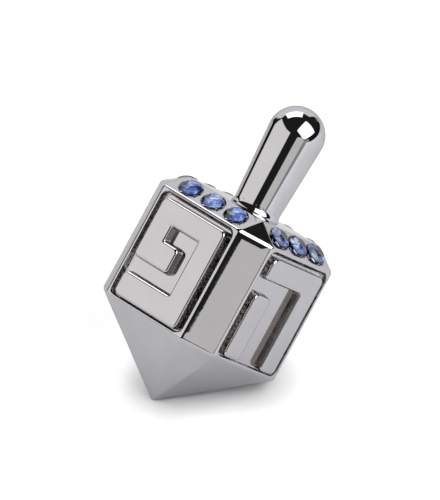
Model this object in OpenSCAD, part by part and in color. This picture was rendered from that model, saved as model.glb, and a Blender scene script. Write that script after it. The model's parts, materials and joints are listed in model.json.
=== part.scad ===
// Chrome dreidel with a stone-set crown, laid on a facet of its foot as it rests.
// Millimetres. Every piece is drawn about its own spin axis, tip down at the origin,
// and at_rest() then lays the whole top on the facet below its rear plate.

/* [Body] */
// Width over two opposite broad faces
body_w = 25; // [24:0.25:27]
// Width of one broad face between the corner flats
face_w = 16.6; // [16:0.1:17.5]
// Height of the straight sides
body_h = 18.8; // [17.5:0.1:22]
// Metal left between a pocket and the hollow inside
wall_t = 2.1; // [1.6:0.1:3.5]
// Metal left between the hollow and the shoulder of the crown
roof_t = 1.8; // [1.4:0.1:3]

/* [Crown] */
// Height of the sloped crown above the straight sides
crown_h = 2.7; // [2.4:0.1:3.4]
// Width of the flat square on top
top_w = 16.2; // [15.4:0.1:16.4]

/* [Foot] */
// Height of the pyramid below the straight sides
foot_h = 11.7; // [10.5:0.1:14]
// Radius of the rounded tip
tip_r = 0.7; // [0.4:0.05:1]
// Height of the round boss that locates the foot in the body
boss_h = 3; // [2:0.25:5]

/* [Plates] */
// Rim left round each pocket
rim_w = 0.5; // [0.4:0.05:0.6]
// Depth of a pocket below the broad face
pocket_depth = 0.9; // [0.6:0.05:1.2]
// Corner radius of a pocket
pocket_r = 1.2; // [0.8:0.1:1.8]
// Gap between rim and plate at the sides
side_gap = 1; // [0.6:0.05:1.2]
// Gap between rim and plate at the top
top_gap = 0.8; // [0.4:0.05:1]
// Gap between rim and plate at the bottom
bottom_gap = 0.2; // [0.1:0.05:0.4]
// Height of a plate above the rim
plate_proud = 0.5; // [0.3:0.05:0.6]
// Corner radius of a plate
plate_r = 1; // [0.6:0.1:1.4]
// Chamfer round the front of a plate
plate_chamfer = 0.2; // [0.1:0.05:0.3]

/* [Stones] */
// Diameter of a stone
stone_d = 3.9; // [3.4:0.1:4.1]
// Spacing of the stones along a slope
stone_pitch = 5; // [4.4:0.1:5.2]
// Depth of a stone's seat
seat_depth = 0.4; // [0.3:0.05:0.6]
// Gap round a stone in its seat
seat_gap = 0.05; // [0.02:0.01:0.08]
// Height of a stone's straight girdle
girdle_h = 0.7; // [0.5:0.05:0.9]
// Height of the cut crown of a stone
cut_h = 0.9; // [0.7:0.05:1.3]

/* [Handle] */
// Length of the handle above the crown
handle_len = 17.8; // [15:0.1:22]
// Diameter of the taper where it stands on the crown
handle_foot_d = 7.6; // [7.2:0.1:7.8]
// Diameter of the domed end
handle_end_d = 9.1; // [8.4:0.1:10]
// Diameter of the flared foot where it stands on the crown
flare_d = 8.1; // [8:0.1:8.8]
// Height of the hollow curve that runs up into the taper
flare_h = 1.2; // [0.8:0.1:1.6]
// Height of the flare's straight edge
flare_edge = 0.15; // [0.1:0.05:0.3]

/* [Tie stud] */
// Diameter of the stud
stud_d = 3; // [2.5:0.1:3.5]
// Length of stud held in the foot
stud_in_foot = 9; // [7:0.25:10]
// Length of stud held in the handle
stud_in_handle = 8; // [6:0.25:10]
// Room left beyond each end of the stud
stud_end_room = 0.5; // [0.2:0.1:1]
// Gap round the stud in its threads
thread_gap = 0.04; // [0.02:0.01:0.08]
// Gap round the stud in the roof
roof_hole_gap = 0.2; // [0.1:0.05:0.3]
// Gap round the boss in the hollow
boss_gap = 0.05; // [0.02:0.01:0.1]

/* [Hidden] */
$fn = 64;
hull_fn = 32;

// The four broad faces, by their turn round the spin axis
front_angle = 0;
right_angle = 90;
rear_angle = 180;
left_angle = 270;

half_w = body_w / 2;
half_face = face_w / 2;
corner_reach = (half_w + half_face) / sqrt(2);
top_corner_reach = top_w / sqrt(2);
shoulder_z = foot_h + body_h;
top_z = shoulder_z + crown_h;
bore_d = body_w - 2 * (pocket_depth + wall_t);
overrun = body_w;

plate_w = face_w - 2 * (rim_w + side_gap);
plate_h = body_h - 2 * rim_w - top_gap - bottom_gap;
plate_t = pocket_depth + plate_proud;

slope_run = half_w - top_w / 2;
slope_angle = atan(crown_h / slope_run);
cut_sides = 8;
girdle_sides = 2 * cut_sides;
table_share = 0.5;
mid_ring_share = 0.82;
mid_height_share = 0.62;

facet_angle = atan(half_w / foot_h);
tip_centre = tip_r / sin(facet_angle);
tip_cut = tip_centre - tip_r * sin(facet_angle);
tip_ball_share = 0.98;

flare_out = (flare_d - handle_foot_d) / 2;
flare_r = (flare_h * flare_h + flare_out * flare_out) / (2 * flare_out);
dome_z = top_z + handle_len - handle_end_d / 2;
stud_z0 = foot_h + boss_h - stud_in_foot;
stud_z1 = top_z + stud_in_handle;

facet_slant = sqrt(foot_h * foot_h + half_w * half_w);
lay_angle = atan(foot_h / half_w);
centroid_share = 2 / 3;

chrome = [0.8, 0.8, 0.82];
steel = [0.6, 0.6, 0.62];
sapphire = [0.12, 0.18, 0.45];

// Lays the upright top on the foot facet below its rear plate, the middle of that facet at the origin.
module at_rest() {
    translate([0, -centroid_share * facet_slant, 0]) rotate([-lay_angle, 0, 0]) children();
}

// Puts a drawing on a broad face: x to the right, y up from the face's lower edge, z outward.
module on_face(angle) {
    rotate([0, 0, angle]) translate([0, -half_w, foot_h]) rotate([90, 0, 0]) children();
}

// Puts a piece on the slope of the crown above a broad face: z outward from the middle of the slope.
module on_slope(angle) {
    on_face(angle) translate([0, body_h + crown_h / 2, -slope_run / 2])
        rotate([slope_angle - 90, 0, 0]) children();
}

module octagon() {
    polygon([[-half_face, -half_w], [half_face, -half_w], [half_w, -half_face], [half_w, half_face],
        [half_face, half_w], [-half_face, half_w], [-half_w, half_face], [-half_w, -half_face]]);
}

// A long ridge along y that narrows from one half width to another.
module ridge(low, high, h) {
    rotate([90, 0, 0]) linear_extrude(2 * overrun, center = true)
        polygon([[-low, 0], [low, 0], [high, h], [-high, h]]);
}

// Four crossed ridges: a block with four main slopes and four corner slopes.
module eight_slopes(low, high, corner_low, corner_high, h) {
    intersection() {
        ridge(low, high, h);
        rotate([0, 0, 90]) ridge(low, high, h);
        rotate([0, 0, 45]) ridge(corner_low, corner_high, h);
        rotate([0, 0, -45]) ridge(corner_low, corner_high, h);
    }
}

// Everything above a height.
module above(z) {
    translate([-overrun, -overrun, z]) cube(2 * overrun);
}

// A rectangle with round corners, standing on the x axis.
module rounded(w, h, r) {
    translate([-w / 2, r]) square([w, h - 2 * r]);
    translate([r - w / 2, 0]) square([w - 2 * r, h]);
    for (x = [r - w / 2, w / 2 - r], y = [r, h - r]) translate([x, y]) circle(r);
}

module pocket() {
    translate([0, rim_w, -pocket_depth]) linear_extrude(overrun)
        rounded(face_w - 2 * rim_w, body_h - 2 * rim_w, pocket_r);
}

module seat(place) {
    translate([place * stone_pitch, 0, -seat_depth]) cylinder(d = stone_d + 2 * seat_gap, h = overrun);
}

// The hollow body with its crown, a framed pocket on each face and a row of seats on each slope.
module body_shell() {
    color(chrome) difference() {
        union() {
            translate([0, 0, foot_h]) linear_extrude(body_h) octagon();
            translate([0, 0, shoulder_z])
                eight_slopes(half_w, top_w / 2, corner_reach, top_corner_reach, crown_h);
        }
        translate([0, 0, shoulder_z - roof_t - overrun]) cylinder(d = bore_d, h = overrun);
        cylinder(d = stud_d + 2 * roof_hole_gap, h = top_z + overrun);
        for (angle = [front_angle, right_angle, rear_angle, left_angle]) {
            on_face(angle) pocket();
            on_slope(angle) for (place = [-1 : 1]) seat(place);
        }
    }
}

// The pyramid with a rounded tip, a boss that locates it in the body and a blind hole for the stud.
module foot() {
    color(chrome) difference() {
        union() {
            intersection() {
                translate([0, 0, foot_h]) mirror([0, 0, 1]) eight_slopes(half_w, 0, corner_reach, 0, foot_h);
                above(tip_cut);
            }
            translate([0, 0, tip_centre]) sphere(tip_ball_share * tip_r);
            translate([0, 0, foot_h]) cylinder(d = bore_d - 2 * boss_gap, h = boss_h);
        }
        translate([0, 0, stud_z0 - stud_end_room]) cylinder(d = stud_d + 2 * thread_gap, h = overrun);
    }
}

// A disc with a hollow curve turned into its side, which runs up into the taper.
module flare() {
    rotate_extrude() difference() {
        square([flare_d / 2, flare_edge + flare_h]);
        translate([handle_foot_d / 2 + flare_r, flare_edge + flare_h]) circle(flare_r);
    }
}

// The tapered grip with a flared foot, a domed end and a blind hole for the stud.
module handle() {
    color(chrome) difference() {
        union() {
            translate([0, 0, top_z]) {
                cylinder(d1 = handle_foot_d, d2 = handle_end_d, h = dome_z - top_z);
                flare();
            }
            intersection() {
                translate([0, 0, dome_z]) sphere(d = handle_end_d);
                above(dome_z);
            }
        }
        cylinder(d = stud_d + 2 * thread_gap, h = stud_z1 + stud_end_room);
    }
}

module tie_stud() {
    color(steel) translate([0, 0, stud_z0]) cylinder(d = stud_d, h = stud_z1 - stud_z0);
}

// A raised plate with round corners, seated on the floor of its pocket.
module plate(angle) {
    inner_w = plate_w - 2 * plate_chamfer;
    inner_h = plate_h - 2 * plate_chamfer;
    color(chrome) on_face(angle) translate([0, rim_w + bottom_gap, -pocket_depth]) hull() {
        linear_extrude(plate_t - plate_chamfer) rounded(plate_w, plate_h, plate_r, $fn = hull_fn);
        translate([0, plate_chamfer, 0])
            linear_extrude(plate_t) rounded(inner_w, inner_h, plate_r - plate_chamfer, $fn = hull_fn);
    }
}

// A flat-backed stone in its seat: straight girdle, then two rows of cut facets up to the table.
module stone(angle, place) {
    color(sapphire) on_slope(angle) translate([place * stone_pitch, 0, -seat_depth]) hull() {
        rotate([0, 0, 180 / girdle_sides]) cylinder(d = stone_d, h = girdle_h, $fn = girdle_sides);
        rotate([0, 0, 180 / cut_sides])
            cylinder(d = mid_ring_share * stone_d, h = girdle_h + mid_height_share * cut_h, $fn = cut_sides);
        cylinder(d = table_share * stone_d, h = girdle_h + cut_h, $fn = cut_sides);
    }
}

at_rest() body_shell();
at_rest() foot();
at_rest() handle();
at_rest() tie_stud();
at_rest() plate(front_angle);  // plate_front
at_rest() plate(right_angle);  // plate_right
at_rest() plate(rear_angle);  // plate_rear
at_rest() plate(left_angle);  // plate_left
at_rest() stone(front_angle, -1);  // stone_front_1
at_rest() stone(front_angle, 0);  // stone_front_2
at_rest() stone(front_angle, 1);  // stone_front_3
at_rest() stone(right_angle, -1);  // stone_right_1
at_rest() stone(right_angle, 0);  // stone_right_2
at_rest() stone(right_angle, 1);  // stone_right_3
at_rest() stone(rear_angle, -1);  // stone_rear_1
at_rest() stone(rear_angle, 0);  // stone_rear_2
at_rest() stone(rear_angle, 1);  // stone_rear_3
at_rest() stone(left_angle, -1);  // stone_left_1
at_rest() stone(left_angle, 0);  // stone_left_2
at_rest() stone(left_angle, 1);  // stone_left_3
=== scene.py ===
# %% [markdown]
# A chrome dreidel with a stone-set crown, lying on one facet of its foot.
#
# The imported CAD model is the fixed frame of this lesson: it says where every piece is and how big.
# We keep its box, and the studio is later centred on its middle.

# %% Load the frame
import json
import math

import bmesh
import bpy
from mathutils import Matrix, Vector


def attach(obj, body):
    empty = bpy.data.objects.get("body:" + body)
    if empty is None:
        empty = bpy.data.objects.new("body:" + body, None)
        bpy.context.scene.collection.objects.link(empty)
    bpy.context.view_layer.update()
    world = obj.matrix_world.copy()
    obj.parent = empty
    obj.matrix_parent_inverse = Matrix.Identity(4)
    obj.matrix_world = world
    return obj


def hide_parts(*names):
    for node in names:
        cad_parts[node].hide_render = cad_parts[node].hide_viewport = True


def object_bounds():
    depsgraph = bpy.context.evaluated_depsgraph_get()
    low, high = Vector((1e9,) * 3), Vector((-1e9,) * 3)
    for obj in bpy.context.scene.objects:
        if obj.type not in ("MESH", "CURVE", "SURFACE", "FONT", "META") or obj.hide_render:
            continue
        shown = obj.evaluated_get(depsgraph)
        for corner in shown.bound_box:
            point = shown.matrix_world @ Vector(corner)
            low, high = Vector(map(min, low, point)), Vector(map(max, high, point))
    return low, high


MM = 0.001

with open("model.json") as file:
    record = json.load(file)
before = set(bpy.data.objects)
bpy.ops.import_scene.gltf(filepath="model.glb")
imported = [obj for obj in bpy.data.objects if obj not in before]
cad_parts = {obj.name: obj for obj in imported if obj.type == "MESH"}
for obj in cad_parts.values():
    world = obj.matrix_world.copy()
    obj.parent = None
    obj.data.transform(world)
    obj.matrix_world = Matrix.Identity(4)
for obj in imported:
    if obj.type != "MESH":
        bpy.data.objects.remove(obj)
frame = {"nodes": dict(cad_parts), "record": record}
cad_low, cad_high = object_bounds()
print("CAD box in mm:", [round(side / MM, 2) for side in cad_high - cad_low])

# %% [markdown]
# The top lies tilted, which makes it awkward to draw. A maker would draw it upright, tip down on the
# bench, so we do too: in millimetres, with the tip at the origin and the spin axis along +Z.
# One matrix then lays each finished mesh in the frame, in metres. The mount at the tip tells us
# where the tip is and which way the spin axis points.

# %% From the upright drawing to the frame
tip_mount = next(m for m in frame["record"]["mounts"] if m["name"] == "spin_tip")
spin_axis = -Vector(tip_mount["axis"])
across = Vector((1, 0, 0))
turned = Matrix((across, spin_axis.cross(across), spin_axis)).transposed().to_4x4()
LAY = Matrix.Translation(tip_mount["pos_m"]) @ turned @ Matrix.Scale(MM, 4)
STAND = LAY.inverted()


def upright_box(node):
    """Lowest and highest corner of a CAD node in the upright drawing, in millimetres."""
    spots = [STAND @ v.co for v in frame["nodes"][node].data.vertices]
    low = Vector([min(s[i] for s in spots) for i in range(3)])
    high = Vector([max(s[i] for s in spots) for i in range(3)])
    return low, high


body_low, body_high = upright_box("body_shell")
_, handle_high = upright_box("handle")
plate_low, plate_high = upright_box("plate_front")
print("Upright body from", [round(x, 2) for x in body_low], "to", [round(x, 2) for x in body_high])

# %% [markdown]
# The big sizes come from the frame. The small ones, which a box can't tell us, are the drawing's own:
# the corner flats, the rims, the pockets and the bore. A hair is taken off the outermost sizes, so
# that no rounding error takes a piece past the CAD box.

# %% Sizes in millimetres
SNUG = 0.002
BODY_W = body_high.x - body_low.x - SNUG
FOOT_H = body_low.z
TOP_Z = body_high.z
HANDLE_TOP = handle_high.z - SNUG
END_R = handle_high.x - SNUG
PLATE_W = plate_high.x - plate_low.x
PLATE_H = plate_high.z - plate_low.z
PLATE_T = plate_high.y - plate_low.y

FACE_W = 16.6
CROWN_H = 2.7
TOP_W = 16.2
RIM_W = 0.5
POCKET_DEPTH = 0.9
POCKET_R = 1.2
BORE_R = 9.5
ROOF_T = 1.8
STUD_HOLE_R = 1.7
HALF_W = BODY_W / 2
SHOULDER_Z = TOP_Z - CROWN_H
BODY_H = SHOULDER_Z - FOOT_H
SLOPE_RUN = HALF_W - TOP_W / 2
SLOPE_ANGLE = math.atan2(CROWN_H, SLOPE_RUN)
print("Straight sides", round(BODY_H, 2), "mm tall, crown slopes at", round(math.degrees(SLOPE_ANGLE), 1))

# %% [markdown]
# Plates sit on the four broad faces, and stones on the four slopes above them. We draw a plate or a
# stone once, flat on the bench, and a matrix carries it to its face or slope.

# %% Places on the faces and slopes
FACE_TURNS = {"front": 0, "right": 90, "rear": 180, "left": 270}


def on_face(turn):
    """Matrix of a broad face: x to the right, y up from its lower edge, z outward."""
    spin = Matrix.Rotation(math.radians(turn), 4, "Z")
    return spin @ Matrix.Translation((0, -HALF_W, FOOT_H)) @ Matrix.Rotation(math.pi / 2, 4, "X")


def on_slope(turn):
    """Matrix of a crown slope: x along the slope, z outward from its middle."""
    middle = Matrix.Translation((0, BODY_H + CROWN_H / 2, -SLOPE_RUN / 2))
    return on_face(turn) @ middle @ Matrix.Rotation(SLOPE_ANGLE - math.pi / 2, 4, "X")


# %% [markdown]
# Some small helpers come next, because every piece needs them. Extruding a face or a ring of edges,
# and then moving or scaling what was extruded, is how most of the shapes grow.

# %% Helpers that grow meshes
ROUND_STEPS = 64


def new_verts(made):
    return [item for item in made["geom"] if isinstance(item, bmesh.types.BMVert)]


def grow_face(bm, face):
    """Extrudes a face in place. Its new corners come back, ready to be moved or scaled."""
    corners = new_verts(bmesh.ops.extrude_face_region(bm, geom=[face]))
    if face.is_valid:
        bmesh.ops.delete(bm, geom=[face], context="FACES_ONLY")
    return corners


def grow_ring(bm, ring, scale, lift):
    """Extrudes a ring of edges, scales it about the spin axis and lifts it. The new ring comes back."""
    corners = new_verts(bmesh.ops.extrude_edge_only(bm, edges=ring))
    bmesh.ops.scale(bm, vec=(scale, scale, 1), verts=corners)
    bmesh.ops.translate(bm, vec=(0, 0, lift), verts=corners)
    inside = set(corners)
    return [e for e in bm.edges if e.verts[0] in inside and e.verts[1] in inside]


def circle_ring(bm, radius, z):
    """A bare ring of edges round the spin axis."""
    place = Matrix.Translation((0, 0, z))
    made = bmesh.ops.create_circle(bm, cap_ends=False, radius=radius, segments=ROUND_STEPS, matrix=place)
    return list(dict.fromkeys(e for v in made["verts"] for e in v.link_edges))


# %% [markdown]
# Pockets, seats and marks are cut with a Boolean, as a cutter would cut them in metal. The Boolean is
# a modifier, and so is the bevel that gives each edge a width of its own. Modifiers work on objects,
# so a mesh becomes an object for a moment and is taken back afterwards.

# %% Helpers that cut and round meshes
def soften(bm, edges, width, segments):
    bmesh.ops.bevel(
        bm, geom=edges, offset=width, offset_type="OFFSET", segments=segments,
        profile=0.5, affect="EDGES", material=-1,
    )


def into_mesh(label, bm):
    """Moves what was modelled into a mesh that an object can hold."""
    mesh = bpy.data.meshes.new(label)
    bm.to_mesh(mesh)
    bm.free()
    return mesh


def into_scene(label, data):
    obj = bpy.data.objects.new(label, data)
    bpy.context.scene.collection.objects.link(obj)
    return obj


def take_back(work, *tools):
    """The mesh that an object's modifiers make of it. The objects themselves are used up."""
    result = bmesh.new()
    result.from_object(work, bpy.context.evaluated_depsgraph_get())
    for used in (work, *tools):
        mesh = used.data
        bpy.data.objects.remove(used)
        bpy.data.meshes.remove(mesh)
    return result


def carve(bm, cutter):
    """Cuts one mesh out of another. Both are used up, and the result is a new mesh."""
    work = into_scene("work", into_mesh("work", bm))
    tool = into_scene("cutter", into_mesh("cutter", cutter))
    cut = work.modifiers.new("cut", "BOOLEAN")
    cut.operation = "DIFFERENCE"
    cut.solver = "EXACT"
    cut.object = tool
    return take_back(work, tool)


def round_edges(bm, width_of, widest, segments):
    """Rounds each edge to a width of its own. The mesh is used up, and the result is a new one."""
    weight = bm.edges.layers.float.new("bevel_weight_edge")
    for edge in bm.edges:
        edge[weight] = width_of(edge) / widest
    work = into_scene("work", into_mesh("work", bm))
    rounding = work.modifiers.new("rounding", "BEVEL")
    rounding.limit_method = "WEIGHT"
    rounding.offset_type = "OFFSET"
    rounding.width = widest
    rounding.segments = segments
    rounding.profile = 0.5
    rounding.use_clamp_overlap = False
    return take_back(work)


# %% [markdown]
# Plates and the cutters of pockets start as a flat sheet with round corners. A stack of extrusions
# then raises the sheet, level by level, and widens it on the way where the shape flares.

# %% Helpers that stack sheets
CORNER_STEPS = 8
HALF_UNIT = 0.5


def rounded_sheet(bm, width, height, radius, z):
    """A flat rectangle with round corners, centred on the axis at height z. Its face comes back."""
    place = Matrix.Translation((0, 0, z)) @ Matrix.Diagonal((width, height, 1, 1))
    made = bmesh.ops.create_grid(bm, x_segments=1, y_segments=1, size=HALF_UNIT, matrix=place)
    bmesh.ops.bevel(
        bm, geom=made["verts"], offset=radius, offset_type="OFFSET", segments=CORNER_STEPS,
        profile=0.5, affect="VERTICES", material=-1,
    )
    return bm.faces[:][0]


def stack(bm, face, width, height, levels):
    """Extrudes a centred sheet through levels of (z, margin, lower margin), which widen its outline."""
    bottom = face
    wide, tall, middle = width, height, 0
    for z, margin, lower in levels:
        made = bmesh.ops.extrude_face_region(bm, geom=[face])
        corners = new_verts(made)
        lift = z - (face.calc_center_median().z if face.is_valid else corners[0].co.z)
        if face is not bottom and face.is_valid:
            bmesh.ops.delete(bm, geom=[face], context="FACES_ONLY")
        grown = (width + 2 * margin, height + margin + lower)
        raised = (margin - lower) / 2
        centre = Matrix.Translation((0, -middle, 0))
        bmesh.ops.scale(bm, vec=(grown[0] / wide, grown[1] / tall, 1), space=centre, verts=corners)
        bmesh.ops.translate(bm, vec=(0, raised - middle, lift), verts=corners)
        wide, tall = grown
        middle = raised
        face = next(item for item in made["geom"] if isinstance(item, bmesh.types.BMFace))
    return bm


def add_part(bm, part, matrix):
    """Puts a copy of a small mesh into a bigger one."""
    mesh = bpy.data.meshes.new("part")
    part.to_mesh(mesh)
    mesh.transform(matrix)
    bm.from_mesh(mesh)
    bpy.data.meshes.remove(mesh)


# %% [markdown]
# Polished metal shows every fault of its normals. If a corner's normal were the plain mean of its
# faces, the wide flats would look bent near their rounded edges. So each corner takes a mean that is
# weighted by the area of the faces, and only of faces that meet it smoothly: a flat then stays flat
# up to the very edge of its rounding.

# %% Finish a piece
# Corners closer than this, in millimetres, are one.
MERGE = 0.0005
SMOOTH_LIMIT = math.radians(38)


def even_normals(mesh, limit):
    """Sets each face corner's normal to the area-weighted mean of the faces that meet it smoothly."""
    around = [[] for _ in mesh.vertices]
    for face in mesh.polygons:
        for vert in face.vertices:
            around[vert].append(face)
    normals = []
    for face in mesh.polygons:
        for vert in face.vertices:
            smooth = [f for f in around[vert] if f.normal.angle(face.normal, 0.0) < limit]
            mean = sum((f.normal * f.area for f in smooth), Vector())
            normals.append(mean.normalized())
    mesh.shade_smooth()
    mesh.normals_split_custom_set(normals)


def finish_piece(name, bm, materials, slot, *nodes, limit=SMOOTH_LIMIT):
    """Lays an upright mesh in the frame as a finished piece that stands for CAD nodes."""
    bmesh.ops.remove_doubles(bm, verts=bm.verts, dist=MERGE)
    bmesh.ops.recalc_face_normals(bm, faces=bm.faces)
    open_edges = sum(1 for e in bm.edges if len(e.link_faces) != 2)
    bmesh.ops.transform(bm, matrix=LAY, verts=bm.verts)
    mesh = into_mesh(name, bm)
    for material in materials:
        mesh.materials.append(material)
    even_normals(mesh, limit)
    piece = into_scene(name, mesh)
    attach(piece, "root")
    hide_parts(*nodes)
    print(name, "has", len(mesh.polygons), "faces and", open_edges, "open edges")


# %% [markdown]
# Every finish here is built from the same few nodes: noise on Object coordinates, a Map Range that
# spreads its middle, and a Mix of two tones. A small function for each keeps the materials short.
# A value goes to a socket as it is, and another socket is linked to it.

# %% Helpers that build materials
def new_material(name):
    """A material comes back with its node tree and its shader."""
    material = bpy.data.materials.new(name)
    material.use_nodes = True
    return material, material.node_tree, material.node_tree.nodes["Principled BSDF"]


def feed(tree, socket, value):
    """Sets a socket to a value, or links it to the socket that brings one."""
    if isinstance(value, bpy.types.NodeSocket):
        tree.links.new(value, socket)
    else:
        socket.default_value = value


def object_place(tree):
    return tree.nodes.new("ShaderNodeTexCoord").outputs["Object"]


def noise(tree, place, per_m, detail):
    node = tree.nodes.new("ShaderNodeTexNoise")
    feed(tree, node.inputs["Vector"], place)
    feed(tree, node.inputs["Scale"], per_m)
    feed(tree, node.inputs["Detail"], detail)
    return node.outputs["Fac"]


def map_range(tree, value, source=(0.0, 1.0), target=(0.0, 1.0)):
    """Maps a value from one range to another."""
    node = tree.nodes.new("ShaderNodeMapRange")
    feed(tree, node.inputs["Value"], value)
    for label, end in zip(("From Min", "From Max", "To Min", "To Max"), (*source, *target)):
        feed(tree, node.inputs[label], end)
    return node.outputs["Result"]


def two_tone(tree, mask, low, high):
    """A colour that goes from low to high as the mask goes from 0 to 1."""
    node = tree.nodes.new("ShaderNodeMix")
    node.data_type = "RGBA"
    feed(tree, node.inputs["Factor"], mask)
    feed(tree, node.inputs["A"], low)
    feed(tree, node.inputs["B"], high)
    return node.outputs["Result"]


# %% [markdown]
# Chrome plating is a mirror with a colour of its own, a cool grey that gives back a little over half
# of the light. On a cast body it is never optically flat: it ripples a little, and it carries fine
# haze where fingers have been. One node group makes the ripple, the haze and the tint from noise on
# Object coordinates, and each chrome finish places it with its own values.

# %% A node group for plated skin
RIPPLE_DETAIL = 2.0
CLOUD_DETAIL = 4.0
CLOUD_RANGE = (0.36, 0.64)


def plated_skin():
    """Group with a ripple height, a haze roughness and a tint, from noise in object space."""
    tree = bpy.data.node_groups.new("plated_skin", "ShaderNodeTree")
    for label in ("Polish", "Haze", "Waves per m", "Clouds per m"):
        tree.interface.new_socket(label, in_out="INPUT", socket_type="NodeSocketFloat")
    for label in ("Bright tint", "Deep tint"):
        tree.interface.new_socket(label, in_out="INPUT", socket_type="NodeSocketColor")
    for label in ("Height", "Roughness"):
        tree.interface.new_socket(label, in_out="OUTPUT", socket_type="NodeSocketFloat")
    tree.interface.new_socket("Tint", in_out="OUTPUT", socket_type="NodeSocketColor")
    given = tree.nodes.new("NodeGroupInput").outputs
    out = tree.nodes.new("NodeGroupOutput").inputs
    place = object_place(tree)
    cloud = noise(tree, place, given["Clouds per m"], CLOUD_DETAIL)
    cloud = map_range(tree, cloud, source=CLOUD_RANGE)
    feed(tree, out["Height"], noise(tree, place, given["Waves per m"], RIPPLE_DETAIL))
    feed(tree, out["Roughness"], map_range(tree, cloud, target=(given["Polish"], given["Haze"])))
    feed(tree, out["Tint"], two_tone(tree, cloud, given["Deep tint"], given["Bright tint"]))
    return tree


SKIN = plated_skin()
print("Node group", SKIN.name, "with", len(SKIN.nodes), "nodes")

# %% [markdown]
# The finish differs from place to place in how well it could be polished, and in painted shade. A
# polishing wheel brightens the outside of a casting, but it doesn't reach the bottom of a groove. So
# the body, the foot, the handle and the plates are near mirrors, the walls of the pockets keep the
# grain of the casting in bright and dark specks, the dark ones nearly black with painted shade, and
# the walls of the marks are dull, a little warm and darkened by painted shade. All six finishes are
# the same group with other values.

# %% Chrome finishes
POLISHED_TINTS = ((0.572, 0.564, 0.585, 1), (0.551, 0.543, 0.565, 1))
# Painted shade: the deep tint of the pocket walls is nearly black, so their dark specks are painted shade
# in the hollow as well as grain.
RECESS_GRAIN_AND_SHADE_TINTS = ((0.58, 0.55, 0.53, 1), (0.08, 0.072, 0.066, 1))
# Painted shade: the walls of the marks are darker than the polished metal, dull metal with painted shade in
# the cut.
MARK_MATT_AND_SHADE_TINTS = ((0.5, 0.46, 0.44, 1), (0.36, 0.33, 0.315, 1))
CHROME_EDGE = (0.75, 0.75, 0.76, 1)
CAST_WAVES = 420.0
FINE_WAVES = 1100.0
GRAIN_WAVES = 4200.0
SOFT_CLOUDS = 260.0
GRAIN_CLOUDS = 2600.0


def chrome(name, polish, haze, ripple_mm, waves, clouds=SOFT_CLOUDS, tints=POLISHED_TINTS):
    """A plated metal: polish and haze are its lowest and highest roughness, ripple_mm its wave height."""
    material, tree, shader = new_material(name)
    shader.inputs["Metallic"].default_value = 1.0
    shader.inputs["Specular Tint"].default_value = CHROME_EDGE
    skin = tree.nodes.new("ShaderNodeGroup")
    skin.node_tree = SKIN
    skin.inputs["Polish"].default_value = polish
    skin.inputs["Haze"].default_value = haze
    skin.inputs["Waves per m"].default_value = waves
    skin.inputs["Clouds per m"].default_value = clouds
    skin.inputs["Bright tint"].default_value = tints[0]
    skin.inputs["Deep tint"].default_value = tints[1]
    bump = tree.nodes.new("ShaderNodeBump")
    bump.inputs["Distance"].default_value = ripple_mm * MM
    feed(tree, bump.inputs["Height"], skin.outputs["Height"])
    feed(tree, shader.inputs["Base Color"], skin.outputs["Tint"])
    feed(tree, shader.inputs["Roughness"], skin.outputs["Roughness"])
    feed(tree, shader.inputs["Normal"], bump.outputs["Normal"])
    print("Finish", name, "with roughness from", polish, "to", haze)
    return material


chrome_body = chrome("chrome_body", polish=0.03, haze=0.07, ripple_mm=0.003, waves=FINE_WAVES)
chrome_foot = chrome("chrome_foot", polish=0.04, haze=0.09, ripple_mm=0.004, waves=CAST_WAVES)
chrome_handle = chrome("chrome_handle", polish=0.02, haze=0.05, ripple_mm=0.002, waves=CAST_WAVES)
chrome_plate = chrome("chrome_plate", polish=0.03, haze=0.07, ripple_mm=0.004, waves=CAST_WAVES)
# The recess and mark finishes carry painted shade in their tints.
chrome_recess_shaded = chrome(
    "chrome_recess_shaded", polish=0.16, haze=0.36, ripple_mm=0.018, waves=GRAIN_WAVES,
    clouds=GRAIN_CLOUDS, tints=RECESS_GRAIN_AND_SHADE_TINTS,
)
chrome_mark_shaded = chrome(
    "chrome_mark_shaded", polish=0.18, haze=0.32, ripple_mm=0.004, waves=FINE_WAVES, tints=MARK_MATT_AND_SHADE_TINTS,
)

# %% [markdown]
# The body, the crown and the foot are cast to one outline. They could be modelled one by one, but then
# their rounded edges would not meet, so they start as one blank. A cube loses its four long corners
# to a one-step bevel, which leaves an octagon with broad faces and narrow corner flats.
# The top face is extruded and its eight corners pulled together into a square: that is the crown.

# %% The block and its crown
NEAR = 0.01


def highest_face(bm):
    return max(bm.faces, key=lambda f: f.calc_center_median().z)


def lowest_face(bm):
    return min(bm.faces, key=lambda f: f.calc_center_median().z)


def octagon_block():
    """A square block with its long corners cut flat."""
    bm = bmesh.new()
    bmesh.ops.create_cube(bm, size=1.0)
    bmesh.ops.scale(bm, vec=(BODY_W, BODY_W, BODY_H), verts=bm.verts)
    bmesh.ops.translate(bm, vec=(0, 0, FOOT_H + BODY_H / 2), verts=bm.verts)
    uprights = [e for e in bm.edges if abs(e.verts[0].co.z - e.verts[1].co.z) > BODY_H / 2]
    soften(bm, uprights, (BODY_W - FACE_W) / 2, segments=1)
    return bm


def raise_crown(bm):
    """Pulls the eight corners of the top together into the four corners of the flat square."""
    corners = grow_face(bm, highest_face(bm))
    for corner in corners:
        corner.co.x = math.copysign(TOP_W / 2, corner.co.x)
        corner.co.y = math.copysign(TOP_W / 2, corner.co.y)
        corner.co.z = TOP_Z
    bmesh.ops.remove_doubles(bm, verts=corners, dist=NEAR)


# %% [markdown]
# A polished casting has no sharp edge. The edges beside and above the corner flats are rounded most,
# those of the crown least. Polishing also leaves the corner flats a little swollen, like a pillow, and
# that is what bends the dark reflections along their rims. Four narrow insets make the swelling, each
# tilted less than the one outside it. Cuts near the ends and along the middle of a flat keep the tilt
# of its ends from leaking into its sides, because the normals are weighted by area.

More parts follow.
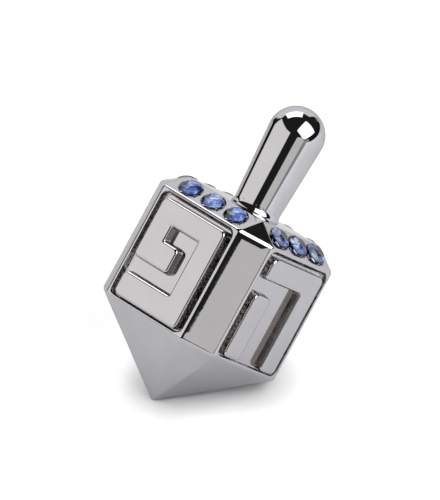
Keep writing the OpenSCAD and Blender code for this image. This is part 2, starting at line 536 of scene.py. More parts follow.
# %% Rounded edges and swollen flats
FLAT_SOFTNESS = 0.45
SHOULDER_SOFTNESS = 0.42
CROWN_SOFTNESS = 0.28
FOOT_SOFTNESS = 0.4
# The swelling: its width, its tilts in degrees from the rim inwards, and where the cuts run.
PILLOW_BAND = 0.7
PILLOW_TILTS = (3.4, 2.9, 2.3, 1.6)
PILLOW_END = 1.6
PILLOW_MIDDLE = 1.4
# A flat looks along a diagonal, so the x and y of its normal are close to 0.707.
FLAT_LEAST = 0.7065
SWOLLEN_LEAST = 0.6
ON_PLANE = 0.0001


def softness(edge):
    """How wide an edge of the blank is rounded: most at the corner flats, not at all at the cut tip."""
    low, high = sorted(v.co.z for v in edge.verts)
    middle = (edge.verts[0].co + edge.verts[1].co) / 2
    upright = high - low > BODY_H - NEAR
    above_flat = abs(abs(middle.x) - abs(middle.y)) < NEAR and abs(high + low - 2 * SHOULDER_Z) < NEAR
    if high < FOOT_H - NEAR:
        return 0.0
    if upright:
        return FLAT_SOFTNESS
    if above_flat:
        return SHOULDER_SOFTNESS
    return CROWN_SOFTNESS if low > SHOULDER_Z - NEAR else FOOT_SOFTNESS


def corner_flats(bm, least):
    """The faces that look along a diagonal: least is the least that x and y may be in their normal."""
    return [f for f in bm.faces if abs(f.normal.x) > least and abs(f.normal.y) > least]


def part_flats(bm, spot, facing):
    """Cuts the swollen flats along a plane."""
    bm.normal_update()
    faces = corner_flats(bm, SWOLLEN_LEAST)
    edges = list(dict.fromkeys(e for f in faces for e in f.edges))
    verts = list(dict.fromkeys(v for f in faces for v in f.verts))
    bmesh.ops.bisect_plane(bm, geom=verts + edges + faces, dist=ON_PLANE, plane_co=spot, plane_no=facing)


def pillow(bm):
    """Swells the four corner flats a little, as polishing leaves them."""
    flats = corner_flats(bm, FLAT_LEAST)
    band = PILLOW_BAND / len(PILLOW_TILTS)
    for tilt in PILLOW_TILTS:
        rise = band * math.tan(math.radians(tilt))
        bmesh.ops.inset_individual(bm, faces=flats, thickness=band, depth=rise, use_even_offset=True)
    for z in (FOOT_H + PILLOW_END, SHOULDER_Z - PILLOW_END):
        part_flats(bm, (0, 0, z), (0, 0, 1))
    for diagonal in (Vector((1, 1, 0)), Vector((1, -1, 0))):
        for sideways in (-PILLOW_MIDDLE, PILLOW_MIDDLE):
            part_flats(bm, diagonal.normalized() * sideways, diagonal)
    print("Swelled", len(flats), "corner flats")


# %% [markdown]
# The bottom face of the block is extruded and scaled about the origin, which is the tip, so the facets
# of the foot all run to one point. The edges are rounded while the foot is still a stub, and last the
# tip is closed by rings on a small sphere. A plane then parts the blank into body and foot.

# %% The whole blank
EDGE_STEPS = 6
FOOT_STUB_SHARE = 0.28
TIP_R = 0.7
TIP_BALL_SHARE = 0.98
TIP_STEPS = 6


def close_tip(bm):
    """Runs the facets on towards the tip and closes it with rings on a small sphere."""
    half_apex = math.atan2(HALF_W, FOOT_H)
    centre_z = TIP_R / math.sin(half_apex)
    ball_r = TIP_BALL_SHARE * TIP_R
    width_now = FOOT_STUB_SHARE * HALF_W
    for step in range(TIP_STEPS):
        face = lowest_face(bm)
        z_now = face.calc_center_median().z
        angle = (math.pi / 2 - half_apex) * (1 - step / TIP_STEPS)
        width = ball_r * math.sin(angle)
        corners = grow_face(bm, face)
        bmesh.ops.scale(bm, vec=(width / width_now, width / width_now, 1), verts=corners)
        bmesh.ops.translate(bm, vec=(0, 0, centre_z - ball_r * math.cos(angle) - z_now), verts=corners)
        width_now = width


def blank():
    """Body, crown and foot in one closed mesh, with rounded edges."""
    bm = octagon_block()
    raise_crown(bm)
    stub = grow_face(bm, lowest_face(bm))
    bmesh.ops.scale(bm, vec=[FOOT_STUB_SHARE] * 3, verts=stub)
    bm = round_edges(bm, softness, FLAT_SOFTNESS, EDGE_STEPS)
    pillow(bm)
    close_tip(bm)
    return bm


def half_of(bm, keep_upper):
    """Parts the blank at the lower edge of the broad faces. The rim of the cut comes back."""
    everything = bm.verts[:] + bm.edges[:] + bm.faces[:]
    bmesh.ops.bisect_plane(
        bm, geom=everything, dist=ON_PLANE, plane_co=(0, 0, FOOT_H), plane_no=(0, 0, 1),
        clear_inner=keep_upper, clear_outer=not keep_upper,
    )
    return [e for e in bm.edges if e.is_boundary]


whole = blank()
print("The blank has", len(whole.faces), "faces")

# %% [markdown]
# Each broad face of the body has a shallow pocket, and each slope of the crown three round seats. The
# cutters flare at their mouth, which leaves a rounded lip that catches the light, as on the real
# casting. The floor of a pocket runs up into its walls in a hollow quarter round, a slighter one at the
# lower edge. Insets could make the pockets, but a round seat follows no edge of its slope, so both are
# cut. All the cutters go into one mesh, and the body is cut once.

# %% Cutters for pockets and seats
POCKET_LIP = 0.28
SEAT_LIP = 0.07
LIP_SHARE = 0.3
HOLLOW_R = 0.5
HOLLOW_STEPS = 6
LOWER_HOLLOW_SHARE = 0.2
SEAT_DEPTH = 0.4
SEAT_R = 2.0
STONE_PITCH = 5.0
STONE_PLACES = (-1, 0, 1)
CUTTER_REACH = 1.0


def flared_levels(lip):
    """Levels of a cutter that is straight below the surface and flares by a lip at its mouth."""
    part = LIP_SHARE * lip
    return [(-lip, 0, 0), (-part, part, part), (0, lip, lip), (CUTTER_REACH, lip, lip)]


def hollow_levels():
    """Levels of a quarter round from the floor of a pocket up to its wall, slighter at the lower edge."""
    levels = []
    for step in range(1, HOLLOW_STEPS + 1):
        angle = math.pi / 2 * step / HOLLOW_STEPS
        outward = HOLLOW_R * math.sin(angle)
        rise = HOLLOW_R * (1 - math.cos(angle))
        levels.append((rise - POCKET_DEPTH, outward, LOWER_HOLLOW_SHARE * outward))
    return levels


def pocket_cutter():
    bm = bmesh.new()
    width = FACE_W - 2 * RIM_W - 2 * HOLLOW_R
    lower = LOWER_HOLLOW_SHARE * HOLLOW_R
    height = BODY_H - 2 * RIM_W - HOLLOW_R - lower
    sheet = rounded_sheet(bm, width, height, POCKET_R, -POCKET_DEPTH)
    mouth = [(z, margin + HOLLOW_R, margin + lower) for z, margin, _ in flared_levels(POCKET_LIP)]
    stack(bm, sheet, width, height, hollow_levels() + mouth)
    bmesh.ops.translate(bm, vec=(0, RIM_W + lower + height / 2, 0), verts=bm.verts)
    return bm


def seat_cutter():
    bm = bmesh.new()
    floor = Matrix.Translation((0, 0, -SEAT_DEPTH))
    bmesh.ops.create_circle(bm, cap_ends=True, radius=SEAT_R, segments=ROUND_STEPS, matrix=floor)
    return stack(bm, bm.faces[:][0], 2 * SEAT_R, 2 * SEAT_R, flared_levels(SEAT_LIP))


def face_cutters():
    """One pocket for each broad face and three seats for each slope, in one mesh."""
    bm = bmesh.new()
    pocket = pocket_cutter()
    seat = seat_cutter()
    for turn in FACE_TURNS.values():
        add_part(bm, pocket, on_face(turn))
        for place in STONE_PLACES:
            add_part(bm, seat, on_slope(turn) @ Matrix.Translation((place * STONE_PITCH, 0, 0)))
    pocket.free()
    seat.free()
    return bm


# %% [markdown]
# The body shell is the upper half of the blank. Inside it is bored out, so that it has a real wall,
# and a small hole lets the tie stud through its roof. Then the pockets and seats are cut. The lower
# half of a pocket's walls keeps the grain of the casting, with painted shade in its dark specks.

# %% The body shell
def bore_body(bm, cut_rim):
    """Closes the cut with a flat edge, a wide bore, a roof and a hole for the stud."""
    ring = circle_ring(bm, BORE_R, FOOT_H)
    bmesh.ops.bridge_loops(bm, edges=cut_rim + ring)
    ring = grow_ring(bm, ring, 1, SHOULDER_Z - ROOF_T - FOOT_H)
    ring = grow_ring(bm, ring, STUD_HOLE_R / BORE_R, 0)
    ring = grow_ring(bm, ring, 1, TOP_Z - SHOULDER_Z + ROOF_T)
    top = highest_face(bm)
    outline = top.edges[:]
    bmesh.ops.delete(bm, geom=[top], context="FACES_ONLY")
    bmesh.ops.bridge_loops(bm, edges=outline + ring)


def unpolished_and_shaded(face):
    """Whether a face is in the lower half of a pocket's walls, where no polishing wheel reaches and the
    finish paints shade.
    """
    for turn in FACE_TURNS.values():
        spot = on_face(turn).inverted() @ face.calc_center_median()
        across_pocket = abs(spot.x) < FACE_W / 2 - RIM_W + NEAR and 0 < spot.y < BODY_H
        if across_pocket and NEAR - POCKET_DEPTH < spot.z < -POCKET_DEPTH / 2:
            return True
    return False


shell = whole.copy()
bore_body(shell, half_of(shell, keep_upper=True))
shell = carve(shell, face_cutters())
# Faces in the lower pocket walls get the recess finish, whose tint carries painted shade.
for face in shell.faces:
    face.material_index = int(unpolished_and_shaded(face))
finish_piece("chrome_shell", shell, [chrome_body, chrome_recess_shaded], "chrome_body", "body_shell")

# %% [markdown]
# The foot is the lower half of the blank. A round boss stands on it and centres it in the bore of the
# shell, and a blind hole in the boss takes the stud. Both are rings that grow from the flat of the cut.

# %% The foot
BOSS_R = 9.45
BOSS_H = 3.0
THREAD_HOLE_R = 1.54
THREAD_DEPTH = 9.5


def boss_foot(bm, cut_rim):
    """Closes the cut with a flat edge, a boss and a blind hole in it."""
    ring = circle_ring(bm, BOSS_R, FOOT_H)
    bmesh.ops.bridge_loops(bm, edges=cut_rim + ring)
    ring = grow_ring(bm, ring, 1, BOSS_H)
    ring = grow_ring(bm, ring, THREAD_HOLE_R / BOSS_R, 0)
    ring = grow_ring(bm, ring, 1, -THREAD_DEPTH)
    bmesh.ops.edgeloop_fill(bm, edges=ring)


boss_foot(whole, half_of(whole, keep_upper=False))
finish_piece("chrome_point", whole, [chrome_foot], "chrome_foot", "foot")

# %% [markdown]
# Each face carries a raised plate with one of the four marks of the game sunk into it. A mark is a
# few straight strokes of even width, like the numbers on a dial. A stroke is written as its two ends,
# x to the right and y up from the lower edge of the face, and its width. One that runs past the edge
# of the plate leaves the mark open there.

# %% The marks
STROKE = 2.6
FINE_STROKE = 1.6
MARK_LOW = 6.0
MARK_HIGH = 12.7
MARK_STEM = 1.7
TOP_END = -1.55
LOW_END = -2.6
PAST_EDGE = PLATE_W / 2 + 2 * STROKE
WIDE_LEG = 6.0
WIDE_LEG_X = 0.2
FORK = 4.1

MARKS = {
    "front": [
        ((TOP_END, MARK_HIGH), (MARK_STEM, MARK_HIGH), STROKE),
        ((MARK_STEM, MARK_HIGH), (MARK_STEM, MARK_LOW), STROKE),
        ((-PAST_EDGE, MARK_LOW), (MARK_STEM, MARK_LOW), STROKE),
    ],
    "right": [
        ((-PAST_EDGE, MARK_HIGH), (MARK_STEM, MARK_HIGH), STROKE),
        ((WIDE_LEG_X, MARK_HIGH - MARK_STEM), (WIDE_LEG_X, -PAST_EDGE), WIDE_LEG),
    ],
    "rear": [
        ((-FORK, MARK_LOW), (FORK, MARK_LOW), FINE_STROKE),
        ((-FORK, MARK_HIGH), (-FORK, MARK_LOW), FINE_STROKE),
        ((0, MARK_HIGH), (0, MARK_LOW), FINE_STROKE),
        ((FORK, MARK_HIGH), (FORK, MARK_LOW), FINE_STROKE),
    ],
    "left": [
        ((TOP_END, MARK_HIGH), (MARK_STEM, MARK_HIGH), STROKE),
        ((MARK_STEM, MARK_HIGH), (MARK_STEM, MARK_LOW), STROKE),
        ((LOW_END, MARK_LOW), (MARK_STEM, MARK_LOW + STROKE / 2), STROKE),
    ],
}
print("Strokes of each mark:", {side: len(strokes) for side, strokes in MARKS.items()})

# %% [markdown]
# A mark could be a bump in the material, but a real mark has walls that shade it and show the room.
# So we cut each stroke right through its plate, and the floor of a mark is the floor of the pocket.
# The cutter narrows towards the floor, so the walls lean back as in a casting. Then the upright
# corners are rounded, and every edge of the plate's front is softened in one bevel. The front is
# polished, the outer walls are left as cast with painted shade in their dark specks, and the walls
# of the mark are dull and darkened with painted shade.

# %% The plates
PLATE_R = 1.0
PLATE_RISE = plate_low.z - FOOT_H
PLATE_SOFTNESS = 0.42
FRONT_STEPS = 5
OUTER_CORNER_R = 0.8
OUTER_STEPS = 6
INNER_CORNER_R = 0.25
INNER_STEPS = 3
STROKE_DRAFT = math.tan(math.radians(9))
SHARP = math.radians(50)
WALL_TILT = 0.4
TOUCHING = 0.001
# The as-cast and dull finishes of a plate carry painted shade in their tints.
POLISHED, AS_CAST_SHADED, DULL_SHADED = 0, 1, 2
PLATE_FINISHES = [chrome_plate, chrome_recess_shaded, chrome_mark_shaded]


def stroke_cutter(start, end, width):
    """A square-ended bar along a stroke, right through a plate and narrower towards its floor."""
    bm = bmesh.new()
    run = Vector(end) - Vector(start)
    middle = (Vector(start) + Vector(end)) / 2
    bmesh.ops.create_cube(bm, size=1.0)
    for corner in bm.verts:
        z = math.copysign(2 * PLATE_T, corner.co.z)
        wider = STROKE_DRAFT * (z - PLATE_T + POCKET_DEPTH)
        corner.co.x = math.copysign((run.length + width) / 2 + wider, corner.co.x)
        corner.co.y = math.copysign(width / 2 + wider, corner.co.y)
        corner.co.z = z
    turn = Matrix.Rotation(math.atan2(run.y, run.x), 4, "Z")
    bmesh.ops.transform(bm, matrix=Matrix.Translation((middle.x, middle.y, 0)) @ turn, verts=bm.verts)
    return bm


def upright_corners(bm, convex):
    """The square upright edges that the strokes left, either those that stand out or those inside."""
    found = []
    for edge in bm.edges:
        low, high = (v.co for v in edge.verts)
        if abs(low.z - high.z) < PLATE_T / 2 or len(edge.link_faces) != 2:
            continue
        if edge.calc_face_angle() > SHARP and edge.is_convex == convex:
            found.append(edge)
    return found


def front_edges(bm):
    """The sharp edges round the front of a plate and round its mark."""
    front_z = PLATE_T - POCKET_DEPTH
    level = [e for e in bm.edges if all(abs(v.co.z - front_z) < TOUCHING for v in e.verts)]
    return [e for e in level if e.calc_face_angle(0) > SHARP]


def plate_finish(face):
    """Which finish a face of a plate gets: polished in front, as cast with painted shade outside, dull with
    painted shade in a mark.
    """
    if abs(face.normal.z) > WALL_TILT:
        return POLISHED
    spot = face.calc_center_median()
    from_side = PLATE_W / 2 - abs(spot.x)
    from_end = PLATE_H / 2 - abs(spot.y - PLATE_RISE - PLATE_H / 2)
    return AS_CAST_SHADED if min(from_side, from_end) < PLATE_SOFTNESS else DULL_SHADED


def make_plate(side):
    """Cuts the mark of one side into a plate and sets the plate in its pocket."""
    bm = bmesh.new()
    sheet = rounded_sheet(bm, PLATE_W, PLATE_H, PLATE_R, -POCKET_DEPTH)
    stack(bm, sheet, PLATE_W, PLATE_H, [(PLATE_T - POCKET_DEPTH, 0, 0)])
    bmesh.ops.translate(bm, vec=(0, PLATE_RISE + PLATE_H / 2, 0), verts=bm.verts)
    for start, end, width in MARKS[side]:
        bm = carve(bm, stroke_cutter(start, end, width))
    bmesh.ops.remove_doubles(bm, verts=bm.verts, dist=TOUCHING)
    bmesh.ops.recalc_face_normals(bm, faces=bm.faces)
    soften(bm, upright_corners(bm, convex=True), OUTER_CORNER_R, OUTER_STEPS)
    soften(bm, upright_corners(bm, convex=False), INNER_CORNER_R, INNER_STEPS)
    soften(bm, front_edges(bm), PLATE_SOFTNESS, FRONT_STEPS)
    bm.normal_update()
    for face in bm.faces:
        face.material_index = plate_finish(face)
    bmesh.ops.transform(bm, matrix=on_face(FACE_TURNS[side]), verts=bm.verts)
    finish_piece("mark_plate_" + side, bm, PLATE_FINISHES, "chrome_plate", "plate_" + side)


for side in FACE_TURNS:
    make_plate(side)

# %% [markdown]
# The stones are cut glass with a foil behind. Light goes in through the cut top, bounces off the foil
# and comes out coloured, so one closed mesh has two materials: clear blue glass on the facets that we
# see, and a mirror on the nearly flat back. The sparkle of such a stone is a play of bright and dark
# patches. Light could find them on its own between dozens of tiny facets, but at this size it would
# turn to grain. So the patches are painted: noise paints pale highlights into the colour of the glass,
# and white highlights and dark reflections into the colour of the foil, and cells on the foil lean a
# little.

# %% Stone materials
GLASS_IOR = 1.64
GLASS_ROUGHNESS = 0.01
GLASS_BLUE = (0.1, 0.18, 0.62, 1)
# Painted highlight: pale patches mixed into the blue of the glass.
GLASS_PAINTED_GLINT = (0.74, 0.84, 1.0, 1)
GLASS_GLINTS_PER_M = 560.0
GLASS_GLINT_RANGE = (0.42, 0.6)
FOIL_ROUGHNESS = 0.06
# Painted highlights and painted dark reflections: the two tones of the foil's colour.
FOIL_PAINTED_GLINT = (0.95, 0.97, 1.0, 1)
FOIL_PAINTED_DARK = (0.04, 0.06, 0.2, 1)
FOIL_GLINTS_PER_M = 430.0
FOIL_GLINT_RANGE = (0.34, 0.6)
FOIL_CELLS_PER_M = 450.0
FOIL_LEAN = 0.1
PATCH_DETAIL = 1.0
CELL_MIDDLE = (0.5, 0.5, 0.5)


def glint_patches(tree, place, per_m, middle):
    """Noise with its middle range spread from 0 to 1, for painted highlight patches with a clear edge."""
    return map_range(tree, noise(tree, place, per_m, PATCH_DETAIL), source=middle)


def blue_glass():
    material, tree, shader = new_material("blue_stone_glass_painted_glints")
    shader.inputs["Transmission Weight"].default_value = 1.0
    shader.inputs["IOR"].default_value = GLASS_IOR
    shader.inputs["Roughness"].default_value = GLASS_ROUGHNESS
    # Painted highlights: pale patches in the colour of the glass.
    mask = glint_patches(tree, object_place(tree), GLASS_GLINTS_PER_M, GLASS_GLINT_RANGE)
    feed(tree, shader.inputs["Base Color"], two_tone(tree, mask, GLASS_BLUE, GLASS_PAINTED_GLINT))
    return material


def vector_step(tree, operation, first):
    node = tree.nodes.new("ShaderNodeVectorMath")
    node.operation = operation
    feed(tree, node.inputs[0], first)
    return node


def foil_back():
    """A mirror with painted highlights and painted dark reflections in patches of its colour. Each cell of
    it leans its own way, because its colour is added to the normal.
    """
    material, tree, shader = new_material("blue_stone_foil_painted_glints")
    shader.inputs["Metallic"].default_value = 1.0
    shader.inputs["Roughness"].default_value = FOIL_ROUGHNESS
    place = object_place(tree)
    mask = glint_patches(tree, place, FOIL_GLINTS_PER_M, FOIL_GLINT_RANGE)
    # Painted highlights and painted dark reflections in the colour of the foil.
    feed(tree, shader.inputs["Base Color"], two_tone(tree, mask, FOIL_PAINTED_DARK, FOIL_PAINTED_GLINT))
    cells = tree.nodes.new("ShaderNodeTexVoronoi")
    feed(tree, cells.inputs["Scale"], FOIL_CELLS_PER_M)
    feed(tree, cells.inputs["Vector"], place)
    centred = vector_step(tree, "SUBTRACT", cells.outputs["Color"])
    feed(tree, centred.inputs[1], CELL_MIDDLE)
    leaning = vector_step(tree, "SCALE", centred.outputs["Vector"])
    feed(tree, leaning.inputs["Scale"], FOIL_LEAN)
    mixed = vector_step(tree, "ADD", leaning.outputs["Vector"])
    feed(tree, mixed.inputs[1], tree.nodes.new("ShaderNodeNewGeometry").outputs["Normal"])
    facet = vector_step(tree, "NORMALIZE", mixed.outputs["Vector"])
    feed(tree, shader.inputs["Normal"], facet.outputs["Vector"])
    return material


stone_glass = blue_glass()
stone_foil = foil_back()
print("Stone materials", stone_glass.name, "and", stone_foil.name)

# %% [markdown]
# A stone is cut in rings: a wide flat back, a thin girdle, and a crown of facets up to the flat table.
# The facets could be cut one by one with planes. It is shorter to place only the corners, ring by
# ring, and to let the hull of all the points make the facets. Facets have sharp edges, so the stones
# get a limit for smooth normals that is close to nothing.

# %% The twelve stones
STONE_R = 1.95
GIRDLE_LOW = 0.5
GIRDLE_HIGH = 0.64
STONE_H = 1.42
CUT_SIDES = 8
TABLE_SHARE = 0.5
MID_SHARE = 0.82
MID_HEIGHT_SHARE = 0.62
CULET_SHARE = 0.9
ONE_FACET = math.radians(1)
FACETED = 0.01


def stone_ring(bm, radius, z, sides, turn):
    place = Matrix.Translation((0, 0, z)) @ Matrix.Rotation(turn, 4, "Z")
    bmesh.ops.create_circle(bm, cap_ends=False, radius=radius, segments=sides, matrix=place)


def cut_stone():
    """A round cut: table, two rows of facets, girdle, and a wide flat back with a slanted rim."""
    bm = bmesh.new()
    step = math.pi / CUT_SIDES
    mid_z = GIRDLE_HIGH + MID_HEIGHT_SHARE * (STONE_H - GIRDLE_HIGH)
    stone_ring(bm, CULET_SHARE * STONE_R, 0, CUT_SIDES, step)
    stone_ring(bm, STONE_R, GIRDLE_LOW, 2 * CUT_SIDES, step / 2)
    stone_ring(bm, STONE_R, GIRDLE_HIGH, 2 * CUT_SIDES, step / 2)
    stone_ring(bm, MID_SHARE * STONE_R, mid_z, CUT_SIDES, step)
    stone_ring(bm, TABLE_SHARE * STONE_R, STONE_H, CUT_SIDES, 0)
    bmesh.ops.convex_hull(bm, input=bm.verts)
    bmesh.ops.dissolve_limit(bm, angle_limit=ONE_FACET, verts=bm.verts, edges=bm.edges)
    for face in bm.faces:
        face.material_index = int(face.calc_center_median().z < GIRDLE_LOW)
    return bm


def set_stone(side, number, place):
    """Sets one stone in its seat on the slope above a broad face."""
    bm = cut_stone()
    seat = on_slope(FACE_TURNS[side]) @ Matrix.Translation((place * STONE_PITCH, 0, -SEAT_DEPTH))
    bmesh.ops.transform(bm, matrix=seat, verts=bm.verts)
    label = side + "_" + str(number)
    materials = [stone_glass, stone_foil]
    finish_piece("stone." + label, bm, materials, "blue_stone", "stone_" + label, limit=FACETED)


for side in FACE_TURNS:
    for number, place in enumerate(STONE_PLACES, 1):
        set_stone(side, number, place)

# %% [markdown]
# The handle is turned on a lathe, and Spin is Blender's lathe: half an outline goes once round the
# axis. The outline starts inside, with the blind hole for the stud, then makes the flared foot with its
# hollow curve, the slow taper and the domed end. Cylinders and a sphere could be joined instead, but
# in one turned surface the reflections run through from the flare to the dome. The taper runs on
# inside the flare, so the outline takes whichever of the two is wider.

# %% The handle
GRIP_FOOT_R = 3.8
FLARE_R = 4.05
FLARE_H = 1.2
FLARE_EDGE = 0.15
FLARE_STEPS = 8
GRIP_HOLE_DEPTH = 8.5
DOME_STEPS = 20
LATHE_STEPS = 128


def handle_outline():
    """Radius and height of each corner, from the end of the stud hole to the top of the dome."""
    dome_z = HANDLE_TOP - END_R
    hole_z = TOP_Z + GRIP_HOLE_DEPTH
    corners = [(0, hole_z), (THREAD_HOLE_R, hole_z), (THREAD_HOLE_R, TOP_Z), (FLARE_R, TOP_Z)]
    flare_out = FLARE_R - GRIP_FOOT_R
    hollow_r = (FLARE_H ** 2 + flare_out ** 2) / (2 * flare_out)
    taper = (END_R - GRIP_FOOT_R) / (dome_z - TOP_Z)
    for step in range(FLARE_STEPS + 1):
        angle = math.asin(FLARE_H / hollow_r) * (1 - step / FLARE_STEPS)
        rise = FLARE_EDGE + FLARE_H - hollow_r * math.sin(angle)
        widened = max(hollow_r * (1 - math.cos(angle)), taper * rise)
        corners.append((GRIP_FOOT_R + widened, TOP_Z + rise))
    for step in range(DOME_STEPS + 1):
        angle = math.pi / 2 * step / DOME_STEPS
        corners.append((END_R * math.cos(angle), dome_z + END_R * math.sin(angle)))
    return corners


def lathe(outline, steps, merge):
    """Spins an outline of radius and height once round the axis. Its ends on the axis close up."""
    bm = bmesh.new()
    corners = [bm.verts.new((r, 0, z)) for r, z in outline]
    for first, second in zip(corners, corners[1:]):
        bm.edges.new((first, second))
    bmesh.ops.spin(
        bm, geom=bm.verts[:] + bm.edges[:], cent=(0, 0, 0), axis=(0, 0, 1), dvec=(0, 0, 0),
        angle=2 * math.pi, steps=steps, use_merge=True,
    )
    bmesh.ops.remove_doubles(bm, verts=bm.verts, dist=merge)
    return bm


grip = lathe(handle_outline(), LATHE_STEPS, TOUCHING)
finish_piece("chrome_grip", grip, [chrome_handle], "chrome_handle", "handle")

# %% [markdown]
# The tie stud pulls the foot and the handle against the body. It is hidden inside, so its CAD shape
# is enough. It still gets a finish of its own: rolled steel with a fine grain, paler where it is
# rougher.

# %% The tie stud
STEEL_GRAIN_PER_M = 1500.0
STEEL_GRAIN_DETAIL = 6.0
STEEL_DARK = (0.32, 0.32, 0.33, 1)
STEEL_PALE = (0.5, 0.5, 0.51, 1)
STEEL_ROUGHNESS = (0.25, 0.5)


def rolled_steel():
    material, tree, shader = new_material("stud_steel")
    shader.inputs["Metallic"].default_value = 1.0
    grain = noise(tree, object_place(tree), STEEL_GRAIN_PER_M, STEEL_GRAIN_DETAIL)
    feed(tree, shader.inputs["Base Color"], two_tone(tree, grain, STEEL_DARK, STEEL_PALE))
    feed(tree, shader.inputs["Roughness"], map_range(tree, grain, target=STEEL_ROUGHNESS))
    return material


stud = frame["nodes"]["tie_stud"]
stud.data.materials.clear()
stud.data.materials.append(rolled_steel())
print("The stud is finished in", stud.data.materials[0].name)

# %% [markdown]
# Polished metal has no look of its own: it shows the studio. So we build the studio that the metal
# should show, as a product photographer does, and begin with a white paper cove round the object.
# Rays that reach the camera see the paper lifted to white, and rays that come by way of metal or glass
# see some of that lift too. The lift would swallow the soft shade under the object, so Ambient
# Occlusion takes it back where the object comes close to the paper.

# %% The white cove
COVE_R = 2.0
COVE_FILLET = 0.15
COVE_FILLET_STEPS = 8
COVE_H = 0.34
COVE_STEPS = 96
COVE_MERGE = 0.00001
FLOOR_DROP = 0.00002
PAPER_WHITE = (0.86, 0.86, 0.86, 1)
PAPER_LIFT = 0.52
LIFT_IN_METAL = 0.29
SHADOW_REACH = 0.005
SHADOW_DEEP = 0.2
SHADOW_END = 0.97


def math_step(tree, operation, *values):
    node = tree.nodes.new("ShaderNodeMath")
    node.operation = operation
    for socket, value in zip(node.inputs, values):
        feed(tree, socket, value)
    return node.outputs["Value"]


def paper():
    """White paper, lifted for rays to the camera and, less, for those by way of metal and glass."""
    material, tree, shader = new_material("cove_paper")
    tree.nodes.remove(shader)
    matte = tree.nodes.new("ShaderNodeBsdfDiffuse")
    matte.inputs["Color"].default_value = PAPER_WHITE
    rays = tree.nodes.new("ShaderNodeLightPath").outputs
    seen = rays["Is Camera Ray"]
    for label in ("Is Glossy Ray", "Is Transmission Ray"):
        seen = math_step(tree, "MULTIPLY_ADD", rays[label], LIFT_IN_METAL, seen)
    corner = tree.nodes.new("ShaderNodeAmbientOcclusion")
    corner.inputs["Distance"].default_value = SHADOW_REACH
    shade = map_range(tree, corner.outputs["AO"], (SHADOW_DEEP, SHADOW_END), (0.0, PAPER_LIFT))
    glow = tree.nodes.new("ShaderNodeEmission")
    feed(tree, glow.inputs["Strength"], math_step(tree, "MULTIPLY", seen, shade))
    both = tree.nodes.new("ShaderNodeAddShader")
    feed(tree, both.inputs[0], matte.outputs["BSDF"])
    feed(tree, both.inputs[1], glow.outputs["Emission"])
    feed(tree, tree.nodes["Material Output"].inputs["Surface"], both.outputs["Shader"])
    return material


def cove_outline():
    """Radius and height of each corner: the floor, a round foot and a low wall."""
    corners = [(0, -FLOOR_DROP), (COVE_R - COVE_FILLET, -FLOOR_DROP)]
    for step in range(1, COVE_FILLET_STEPS + 1):
        angle = math.pi / 2 * step / COVE_FILLET_STEPS
        outward = COVE_R - COVE_FILLET + COVE_FILLET * math.sin(angle)
        corners.append((outward, COVE_FILLET * (1 - math.cos(angle)) - FLOOR_DROP))
    return corners + [(COVE_R, COVE_H - FLOOR_DROP)]


def put_on_stage(name, mesh, material):
    mesh.materials.append(material)
    obj = into_scene(name, mesh)
    return obj


cove = into_mesh("white_cove", lathe(cove_outline(), COVE_STEPS, COVE_MERGE))
cove.shade_smooth()
put_on_stage("white_cove", cove, paper())
print("The cove is", 2 * COVE_R, "m across")

# %% [markdown]
# Two soft boxes hang in the dark room over the cove, white cards fill the sides, and black flags draw
# the dark lines in the metal. Area lamps would light the object too, but here the edge of each sheet
# is seen in the metal, so each is a flat mesh that faces the object and glows, or hardly does.
# What counts is where the object sees it and how large, so a card is given by its direction, its
# distance and the angles that it spans. Cards, boxes and flags stay out of the camera's sight.

# %% Soft boxes, cards and flags
MIDDLE = (cad_low + cad_high) / 2
WARM_WHITE = (1.0, 0.98, 0.955, 1)
COOL_WHITE = (0.985, 0.985, 1.0, 1)
FLAG_BLACK = (0.012, 0.011, 0.011, 1)
ROOM_DARK = (0.02, 0.019, 0.019, 1)

# Azimuth and elevation in degrees, distance in metres, width and height in degrees, colour, strength.
STUDIO = {
    "soft_box_right": (105, 40, 0.42, 56, 48, COOL_WHITE, 2.6),
    "soft_box_rear": (-130, 54, 1.2, 44, 28, COOL_WHITE, 2.6),
    "card_left": (-32, 27, 1.0, 78, 46, WARM_WHITE, 1.06),
    "card_low": (62, 13, 0.9, 24, 20, WARM_WHITE, 0.8),
    "backdrop_rear": (-132, 22, 1.4, 80, 46, COOL_WHITE, 0.98),
    "flag_left": (-85, 4, 0.7, 26, 18, FLAG_BLACK, 1.0),
    "flag_right": (138, 2, 0.6, 80, 22, FLAG_BLACK, 1.0),
    "flag_front": (32, 4, 1.3, 60, 18, FLAG_BLACK, 1.0),
}


def towards(azimuth, elevation):
    """Unit vector from the object: azimuth 0 is towards -Y and 90 towards +X."""
    a = math.radians(azimuth)
    e = math.radians(elevation)
    return Vector((math.sin(a) * math.cos(e), -math.cos(a) * math.cos(e), math.sin(e)))


def glowing(name, colour, strength):
    material, tree, shader = new_material(name)
    tree.nodes.remove(shader)
    glow = tree.nodes.new("ShaderNodeEmission")
    glow.inputs["Color"].default_value = colour
    glow.inputs["Strength"].default_value = strength
    feed(tree, tree.nodes["Material Output"].inputs["Surface"], glow.outputs["Emission"])
    return material


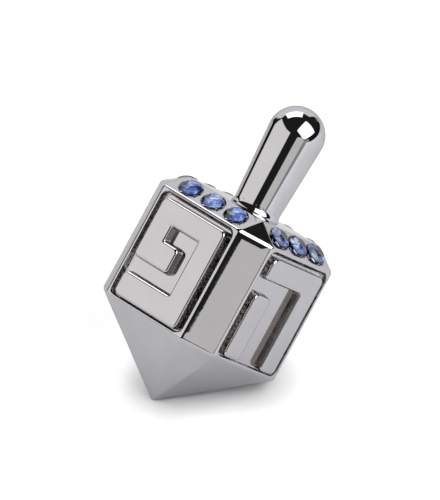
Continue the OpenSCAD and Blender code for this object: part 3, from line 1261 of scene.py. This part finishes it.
def card(name, azimuth, elevation, distance, width_deg, height_deg, colour, strength):
    """A flat card that faces the object and spans the given angles as the object sees it."""
    width = 2 * distance * math.tan(math.radians(width_deg / 2))
    height = 2 * distance * math.tan(math.radians(height_deg / 2))
    away = towards(azimuth, elevation)
    facing = (-away).to_track_quat("Z", "Y").to_matrix().to_4x4()
    place = Matrix.Translation(MIDDLE + away * distance) @ facing @ Matrix.Diagonal((width, height, 1, 1))
    bm = bmesh.new()
    bmesh.ops.create_grid(bm, x_segments=1, y_segments=1, size=HALF_UNIT, matrix=place)
    obj = put_on_stage(name, into_mesh(name, bm), glowing(name, colour, strength))
    obj.visible_camera = False
    obj.visible_shadow = False


for name, values in STUDIO.items():
    card(name, *values)
world = bpy.data.worlds.new("dark_room")
bpy.context.scene.world = world
world.use_nodes = True
world.node_tree.nodes["Background"].inputs["Color"].default_value = ROOM_DARK
bpy.context.scene.view_settings.view_transform = "Standard"
print("The studio has", len(STUDIO), "boxes, cards and flags")

# %% [markdown]
# The photograph is nearly free of perspective, so it was taken with a long lens from some way off.
# The camera looks down at about 36 degrees, from between the front and the right face, and leans
# slightly. Its values are written out rather than turned by hand, so the frame comes out the same
# each time.

# %% The camera
IMAGE_W = 440
IMAGE_H = 500
SENSOR_MM = 36.0
FOCAL_PX = 6000.0
VIEW_AZIMUTH = 48.084
VIEW_ELEVATION = 36.445
VIEW_LEAN = -2.174
VIEW_DISTANCE = 0.92728
VIEW_RIGHT = 0.002143
VIEW_UP = 0.018321
CLIP_NEAR = 0.01
CLIP_FAR = 10.0

back = towards(VIEW_AZIMUTH, VIEW_ELEVATION)
level = Vector((0, 0, 1)).cross(back).normalized()
upward = back.cross(level)
lean = math.radians(VIEW_LEAN)
right = level * math.cos(lean) + upward * math.sin(lean)
up = upward * math.cos(lean) - level * math.sin(lean)
spot = right * VIEW_RIGHT + up * VIEW_UP + back * VIEW_DISTANCE
camera = into_scene("camera", bpy.data.cameras.new("camera"))
camera.matrix_world = Matrix.Translation(spot) @ Matrix((right, up, back)).transposed().to_4x4()
camera.data.sensor_width = SENSOR_MM
camera.data.lens = FOCAL_PX * SENSOR_MM / max(IMAGE_W, IMAGE_H)
camera.data.clip_start = CLIP_NEAR
camera.data.clip_end = CLIP_FAR
bpy.context.scene.camera = camera
print("Lens", round(camera.data.lens), "mm at", round(VIEW_DISTANCE, 2), "m")
